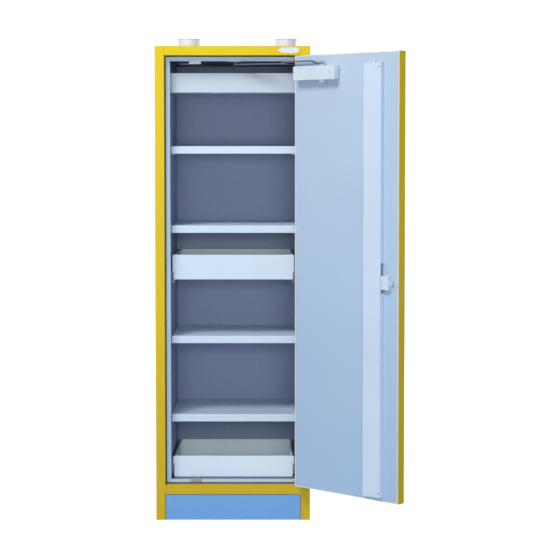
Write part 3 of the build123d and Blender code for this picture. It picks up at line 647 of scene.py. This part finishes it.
def panel_rivets():
    """Rivets round the back and the roof."""
    low, high = box("back_panel")
    places = [(x, high.y, z) for x in ends(low.x, high.x, RIVET_INSET)
              for z in rows(*ends(low.z, high.z, BACK_CORNER_GAP), BACK_RIVET_ROWS)]
    places += [(x, high.y, z) for x in rows(-BACK_RIVET_REACH, BACK_RIVET_REACH, BACK_RIVET_COLUMNS)
               for z in ends(low.z, high.z, RIVET_INSET)]
    fastenings("back_panel_rivets", "cabinet", "bright_steel", rivet, RIVET, TO_BACK, places)
    low, high = box("top_panel")
    places = [(x, high.y - RIVET_INSET * MM, high.z)
              for x in rows(-ROOF_RIVET_REACH, ROOF_RIVET_REACH, ROOF_BACK_RIVETS)]
    places += [(x, y, high.z) for x in ends(low.x, high.x, RIVET_INSET)
               for y in rows(ROOF_RIVET_START, ROOF_RIVET_END, ROOF_SIDE_RIVETS)]
    fastenings("roof_rivets", "cabinet", "bright_steel", rivet, RIVET, UP, places)


def strike_screws():
    """Fixings of the side strike."""
    low, high = box("side_strike")
    x = (low.x + high.x) / 2
    fastenings("side_strike_screws", "cabinet", "bright_steel", cross_screw, STRIKE_SCREW,
               TO_FRONT, [(x, low.y, z) for z in ends(low.z, high.z, STRIKE_INSET)])


def plate_screws():
    """Two sunk screws of the handle's plate."""
    low, high = closed_box("handle_plate")
    x = (low.x + high.x) / 2
    fastenings("handle_plate_screws", "door", "black_plastic", cross_screw, PLATE_SCREW,
               TO_FRONT, [(x, low.y, z) for z in ends(low.z, high.z, PLATE_INSET)], True)


# ------------------------------------------------------------------ fittings
BADGE_SIDES = 64
BADGE_RIM = 3.4 * MM  # how much narrower the field is than the plate

# the lever, in millimetres
GRIP_THICK, GRIP_TALL = 9, 19
GRIP_MIDDLE = 5.5  # from the lever's front
GRIP_CUTS = (0.12, 0.3, 0.5, 0.7, 0.86, 0.95)  # shares of its length
TIP_START, TIP_BEND = 0.82, 3.0  # the share from which the tip bends back, and how far
BAR_SIDE = 5.6  # its corners stay inside the round bores through the door
BAR_SUNK = 6  # how far the bar reaches into the boss

VALVE_HEIGHTS = (-10, 8)  # millimetres from the closer's middle
SPINDLE_NUT_RISE = 6 * MM

COLLAR_LIP = ((46.0, 0), (46.0, 3.0), (47.2, 3.8), (48.4, 3.0), (48.4, 0), (47.2, -0.6), (46.0, 0))
COLLAR_LIP_DROP = 4 * MM
SPRING_WIRE = 0.6 * MM
SPRING_RADIUS = 5.4 * MM
SPRING_RISE = 0.13 * MM  # for each step
SPRING_TURNS, SPRING_STEPS, WIRE_SIDES = 6, 96, 6
SPRING_OFFSET = 6 * MM

# the plinth's dark lip stands for painted shade in its side gaps and a painted contact shadow under
# it
LIP_THICK = 2.2  # of the plinth's rubber lip, in millimetres
CLIP_THICK = 1.3  # of the runners' end clips, in millimetres

FOOT_INSET = 25  # millimetres
FOOT_NUT_DROP = 12 * MM


def badge():
    """A blank oval badge: bright rim round a slightly domed pale field."""
    low, high = box("badge_plate")
    middle = (low + high) / 2
    wide, tall, thick = high.x - low.x, high.z - low.z, high.y - low.y
    shape = bmesh.new()
    bmesh.ops.create_circle(shape, cap_ends=True, segments=BADGE_SIDES, radius=0.5)
    bmesh.ops.scale(shape, vec=(wide, tall, 1), verts=shape.verts)
    raised = bmesh.ops.extrude_face_region(shape, geom=shape.faces[:])
    bmesh.ops.translate(shape, vec=(0, 0, thick * 0.6), verts=new_verts(raised))
    field = [item for item in raised["geom"] if isinstance(item, bmesh.types.BMFace)]
    for inset, lift in ((0.6, 0.35), (0.9, 0.05), (0.5, -0.25)):
        bmesh.ops.inset_region(shape, faces=field, thickness=inset * MM, depth=lift * thick)
    middle_face = [face for face in shape.faces
                   if len(face.verts) > 8 and face.calc_center_median().z > thick * 0.4]
    bmesh.ops.delete(shape, geom=middle_face, context="FACES_ONLY")
    rim_piece = finished("badge_rim", shape, "cabinet", "bright_steel", 40,
                         facing(TO_FRONT, (middle.x, high.y, middle.z)))
    dome = bmesh.new()
    bmesh.ops.create_circle(dome, cap_ends=True, segments=BADGE_SIDES, radius=0.5)
    bmesh.ops.scale(dome, vec=(wide - BADGE_RIM, tall - BADGE_RIM, 1), verts=dome.verts)
    field = dome.faces[:]
    for inset, lift in ((0.4, 0.10), (2.0, 0.12), (3.5, 0.07), (3.0, 0.03)):
        bmesh.ops.inset_region(dome, faces=field, thickness=inset * MM, depth=lift * thick)
    lifted = (middle.x, high.y - thick * 0.55, middle.z)
    face_piece = finished("badge_field", dome, "cabinet", "badge_lacquer", 60,
                          facing(TO_FRONT, lifted))
    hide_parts("badge_plate")
    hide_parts("badge_plate")


def lever_boss(radius, depth):
    """The lever's round boss, in millimetres, from its front down to just off the plate."""
    shares = ((0.55, 1), (0.80, 0.93), (0.84, 0.62), (0.80, 0.30), (1, 0.16))
    waist = [(radius * across, depth * up) for across, up in shares]
    return turned_form([(0, depth), *waist, (radius, 0.2), (0, 0.2)], 40)


def lever_grip(start, end, front, z):
    """The lever's grip, fuller at its middle and bent back at its tip."""
    length = end - start
    grip = bmesh.new()
    bmesh.ops.create_cube(grip, size=1.0)
    bmesh.ops.scale(grip, vec=(length, GRIP_THICK * MM, GRIP_TALL * MM), verts=grip.verts)
    shifted(grip, (start + length / 2, front + GRIP_MIDDLE * MM, z))
    for share in GRIP_CUTS:
        cut_across(grip, (start + share * length, 0, 0), TO_RIGHT)
    for vert in grip.verts:
        share = (vert.co.x - start) / length
        fullness = 0.84 + 0.20 * math.sin(math.pi * share) - 0.10 * share
        vert.co.z = z + (vert.co.z - z) * fullness
        vert.co.y += TIP_BEND * MM * max(0.0, share - TIP_START) / (1 - TIP_START)
    bmesh.ops.bevel(grip, geom=grip.edges[:], offset=2.4 * MM, affect="EDGES", segments=3,
                    profile=0.5, material=-1, clamp_overlap=True)
    return grip


def lever_handle():
    """Moulded lever with a round boss and a shaped grip, on its square bar."""
    low, high = closed_box("door_handle")
    front, seat = low.y, closed_box("handle_plate")[0].y
    x, z = shut_point("handle_turn").x, (low.z + high.z) / 2
    boss = lever_boss((high.z - low.z) / 2 / MM, (seat - front) / MM)
    moved(boss, facing(TO_FRONT, (x, seat, z)))
    bar = slab((BAR_SIDE, (high.y - seat) / MM + BAR_SUNK, BAR_SIDE), 0.4, 1)
    shifted(bar, (x, (seat + high.y) / 2 - BAR_SUNK / 2 * MM, z))
    lever = finished("lever_handle", joined([boss, lever_grip(x, high.x, front, z), bar]),
                     "handle", "black_plastic", 50, DOOR_SWING)
    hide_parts("door_handle")
    cap = turned_form([(0, 0.6), (4.2, 0.5), (4.8, 0), (0, 0)], 24)
    finished("handle_boss_cap", cap, "handle", "bright_steel", 40,
             DOOR_SWING @ facing(TO_FRONT, (x, front, z)))


def closer_fittings():
    """End caps, cover screws and speed valves of the closer, its spindle nut and bracket screws."""
    low, high = closed_box("closer_cover")
    y, z = (low.y + high.y) / 2, (low.z + high.z) / 2
    size = (3.0, (high.y - low.y) / MM - 6, (high.z - low.z) / MM - 8)
    caps = [shifted(slab(size, 0.8), (x, y, z)) for x in ends(low.x, high.x, -0.7)]
    finished("closer_end_caps", joined(caps), "door", "white_plastic", 35, DOOR_SWING)
    fastenings("closer_cover_screws", "door", "bright_steel", cross_screw, CLOSER_SCREW, TO_BACK,
               [(x, high.y, z) for x in ends(low.x, high.x, CLOSER_INSET)], True)
    valves = []
    for rise in VALVE_HEIGHTS:
        valve = turned_form([(0, 0.4), (1.2, 0.4), (1.3, 1.2), (3.0, 1.2), (3.4, 0.8), (3.4, 0),
                             (0, 0)], 20)
        valves.append(moved(valve, facing(TO_LEFT, (low.x - 0.8 * MM, y, z + rise * MM))))
    finished("closer_speed_valves", joined(valves), "door", "bright_steel", 35, DOOR_SWING)
    spindle = joint_point("closer_main_arm_turn")
    height = box("closer_main_arm")[0].z + SPINDLE_NUT_RISE
    finished("spindle_nut", hexagon_head(8.5, 4.5), "main_arm", "bright_steel", 30,
             facing(UP, (spindle.x, spindle.y, height)))
    low, high = box("closer_bracket")
    y, z = (low.y + high.y) / 2, high.z - BRACKET_SUNK
    fastenings("closer_bracket_screws", "cabinet", "bright_steel", cross_screw, BRACKET_SCREW,
               DOWN, [(x, y, z) for x in ends(low.x, high.x, BRACKET_INSET)])


def coil_spring():
    """A wound spring about Z, its wire closed at both ends."""
    coil = bmesh.new()
    bmesh.ops.create_circle(coil, cap_ends=False, segments=WIRE_SIDES, radius=SPRING_WIRE)
    upright = Matrix.Rotation(math.pi / 2, 3, "X")
    bmesh.ops.rotate(coil, cent=(0, 0, 0), matrix=upright, verts=coil.verts)
    bmesh.ops.translate(coil, vec=(SPRING_RADIUS, 0, 0), verts=coil.verts)
    bmesh.ops.spin(coil, geom=coil.verts[:] + coil.edges[:], cent=(0, 0, 0), axis=UP,
                   dvec=(0, 0, SPRING_RISE), angle=math.tau * SPRING_TURNS, steps=SPRING_STEPS,
                   use_merge=False, use_duplicate=False)
    open_ends = [edge for edge in coil.edges if edge.is_boundary]
    bmesh.ops.holes_fill(coil, edges=open_ends, sides=WIRE_SIDES)
    return coil


def collar_details():
    """Rolled lips of the roof collars and the torsion springs of their fire dampers."""
    rim = box("roof_collars")[1].z - COLLAR_LIP_DROP
    for name in ("exhaust", "inlet"):
        centre = joint_point(f"{name}_damper_turn")
        finished(f"{name}_collar_lip", turned_form(COLLAR_LIP, 64), "cabinet", "light_enamel", 50,
                 Matrix.Translation((centre.x, centre.y, rim)))
        finished(f"{name}_damper_spring", coil_spring(), f"{name}_flap", "bright_steel", 60,
                 facing(TO_RIGHT, (centre.x - SPRING_OFFSET, centre.y, centre.z)))


def stud_fittings():
    """The washer and the nut on the earthing stud."""
    low, high = box("earthing_stud")
    x, y = (low.x + high.x) / 2, (low.y + high.y) / 2
    washer = turned_form([(4.2, 0), (4.2, 1.2), (8.6, 1.2), (9.0, 0.9), (9.0, 0), (4.2, 0)], 32)
    shifted(washer, (x, y, low.z + 4.2 * MM))
    finished("earthing_washer", washer, "cabinet", "bright_steel", 40)
    nut = shifted(hexagon_head(7.6, 4.6), (x, y, low.z + 5.6 * MM))
    finished("earthing_nut", nut, "cabinet", "brass_plug", 30)


def foot_nuts():
    """Lock nuts on the studs of the levelling feet, under the base."""
    low, high = box("levelling_feet")
    nuts = [shifted(hexagon_head(11, 7), (x, y, high.z - FOOT_NUT_DROP))
            for x in ends(low.x, high.x, FOOT_INSET) for y in ends(low.y, high.y, FOOT_INSET)]
    finished("foot_lock_nuts", joined(nuts), "cabinet", "galvanised", 30)


def frame_seams():
    """The filled joints where the header and the bottom rail meet the posts."""
    low, high = box("front_frame")
    inner = box("plinth_panel")[1].x + 2 * MM
    door_low, door_high = ends(box("door_outer_pan")[0].z, box("door_outer_pan")[1].z, -4)
    strips = []
    for side in (-1, 1):
        for start, end in ((box("bottom_panel")[0].z, door_low), (door_high, high.z)):
            strip = slab((0.9, 0.6, (end - start) / MM), 0.2, 1)
            strips.append(shifted(strip, (side * inner, low.y + 0.1 * MM, (start + end) / 2)))
    finished("frame_seams", joined(strips), "cabinet", "seam_filler", 30)


def plinth_shade_strips():
    """A dark rubber lip round the plinth panel, at its sides and under it: painted shade in the
    gaps at its sides, and a painted contact shadow along the floor under it.
    """
    low, high = box("plinth_panel")
    gap = box("plinth_clips")[1].x - high.x
    y = low.y + 1.6 * MM
    lips = []
    # painted shade: dark strips in the gaps at the panel's sides
    for side in (-1, 1):
        lip = slab((gap / MM - 0.3, LIP_THICK, high.z / MM - 0.6), 0.3, 1)
        lips.append(shifted(lip, (side * (high.x + gap / 2), y, high.z / 2 + 0.2 * MM)))
    # painted contact shadow: a dark strip along the floor under the plinth panel
    contact_shadow_strip = slab(((high.x - low.x) / MM - 0.2, LIP_THICK, low.z / MM - 0.5), 0.3, 1)
    lips.append(shifted(contact_shadow_strip, (0, y, low.z / 2 + 0.15 * MM)))
    finished("plinth_shade_strips", joined(lips), "cabinet", "dark_seal", 30)


def runner_clips():
    """Dark end clips on the fixed, middle and drawer members of the runners."""
    wall = box("runners_fixed")[1].x
    for drawer in ("mid", "low"):
        low, high = box(f"{drawer}_runner_drawer")
        carrier_low, carrier_high = box(f"{drawer}_runner_carrier")
        tray = box(f"{drawer}_drawer_tray")[1].x
        fixed_z = ends(carrier_low.z, carrier_high.z, -2.7)
        members = (("fixed", "cabinet", ends(carrier_high.x, wall, 0.4), fixed_z),
                   ("middle", f"{drawer}_carriers", (high.x + 0.3 * MM, carrier_high.x),
                    (carrier_low.z, carrier_high.z)),
                   ("inner", f"{drawer}_drawer", (tray + 0.3 * MM, high.x), (low.z, high.z)))
        for member, body, x_range, z_range in members:
            size = ((x_range[1] - x_range[0]) / MM, CLIP_THICK, (z_range[1] - z_range[0]) / MM)
            y = low.y - CLIP_THICK / 2 * MM
            clips = [shifted(slab(size, 0.4), (side * sum(x_range) / 2, y, sum(z_range) / 2))
                     for side in (-1, 1)]
            finished(f"{drawer}_runner_{member}_clips", joined(clips), body, "clip_plastic", 30)


frame_seams()
plinth_shade_strips()
runner_clips()
strike_screws()
cover_strip_screws()
hinge_screws()
keeper_screws()
drawer_screws("mid")
drawer_screws("low")
panel_rivets()
badge()
lever_handle()
plate_screws()
closer_fittings()
collar_details()
stud_fittings()
foot_nuts()


# ------------------------------------------------------------------ room, light and camera
FLOOR_SIZE = 30.0
FLOOR_SHADES = (0.60, 0.66, 0.76), (0.64, 0.70, 0.80)
FLOOR_GLOW = 0.9  # lifts the floor to the white of the surround, as the camera sees it
SKY_COLOUR = (0.90, 0.95, 1.0, 1.0)
SKY_LIGHT = 0.30  # the surround's strength as it lights the cabinet
SKY_GLOSS = 0.75  # as shiny faces mirror it
SKY_SEEN = 1.2  # as the camera sees it
CAMERA_PLACE = Vector((0.1938, -7.553, 1.5313))
CAMERA_TILT = 3.240  # degrees downwards; the lens shift takes the rest of the picture's rise
LENS_MM = 113.99
LENS_SHIFT = 0.055
SENSOR_MM = 36.0
LIGHTS = (  # name, place, target, width and height in metres, watts, spread in degrees
    ("key", (-1.6, -3.4, 4.9), (0.1, 0, 1.3), (1.6, 1.6), 54, 110),
    ("back_left", (-3.2, 3.8, 3.2), (0, 0, 1.0), (2.0, 2.0), 90, 180),
    ("back_right", (3.6, 3.4, 2.6), (0.2, 0, 1.0), (2.0, 2.0), 80, 180),
    ("front_fill", (0.15, -6.0, 1.55), (0.0, 0, 0.65), (2.4, 1.2), 23, 90),
)


def room():
    """Pale floor and an even white surround."""
    shape = bmesh.new()
    bmesh.ops.create_grid(shape, x_segments=2, y_segments=2, size=FLOOR_SIZE / 2)
    data = bpy.data.meshes.new("studio_floor")
    shape.to_mesh(data)
    shape.free()
    floor = bpy.data.objects.new("studio_floor", data)
    scene.collection.objects.link(floor)
    material, tree, shader = start_material("studio_floor")
    soft = noise(tree, object_place(tree), 1.5, 2.0)
    tree.links.new(mixed(tree, soft, *FLOOR_SHADES), shader.inputs["Base Color"])
    shader.inputs["Roughness"].default_value = 0.9
    shader.inputs["Specular IOR Level"].default_value = 0.0
    shader.inputs["Emission Color"].default_value = (1.0, 1.0, 1.0, 1.0)
    seen = add(tree, "ShaderNodeLightPath").outputs["Is Camera Ray"]
    tree.links.new(calc(tree, "MULTIPLY", seen, FLOOR_GLOW), shader.inputs["Emission Strength"])
    data.materials.append(material)
    world = bpy.data.worlds.new("studio")
    scene.world = world
    world.use_nodes = True
    tree = world.node_tree
    sky = tree.nodes["Background"]
    sky.inputs["Color"].default_value = SKY_COLOUR
    ray = add(tree, "ShaderNodeLightPath")
    lit = remap(tree, ray.outputs["Is Glossy Ray"], 0.0, 1.0, SKY_LIGHT, SKY_GLOSS)
    seen = calc(tree, "MULTIPLY", ray.outputs["Is Camera Ray"], SKY_SEEN)
    tree.links.new(calc(tree, "MAXIMUM", lit, seen), sky.inputs["Strength"])


def soft_light(name, place, target, size, power, spread):
    """A large soft light pointed at a place."""
    data = bpy.data.lights.new(name, "AREA")
    data.shape = "RECTANGLE"
    data.size, data.size_y = size
    data.energy = power
    data.spread = math.radians(spread)
    light = bpy.data.objects.new(name, data)
    light.location = place
    light.rotation_euler = (Vector(target) - Vector(place)).to_track_quat("-Z", "Y").to_euler()
    scene.collection.objects.link(light)


def camera():
    """The photograph's viewpoint."""
    data = bpy.data.cameras.new("camera")
    data.sensor_width = SENSOR_MM
    data.lens = LENS_MM
    data.shift_y = -LENS_SHIFT
    viewpoint = bpy.data.objects.new("camera", data)
    viewpoint.location = CAMERA_PLACE
    viewpoint.rotation_euler = (math.radians(90 - CAMERA_TILT), 0, 0)
    scene.collection.objects.link(viewpoint)
    scene.camera = viewpoint


room()
for light_settings in LIGHTS:
    soft_light(*light_settings)
camera()
scene.view_settings.view_transform = "Standard"
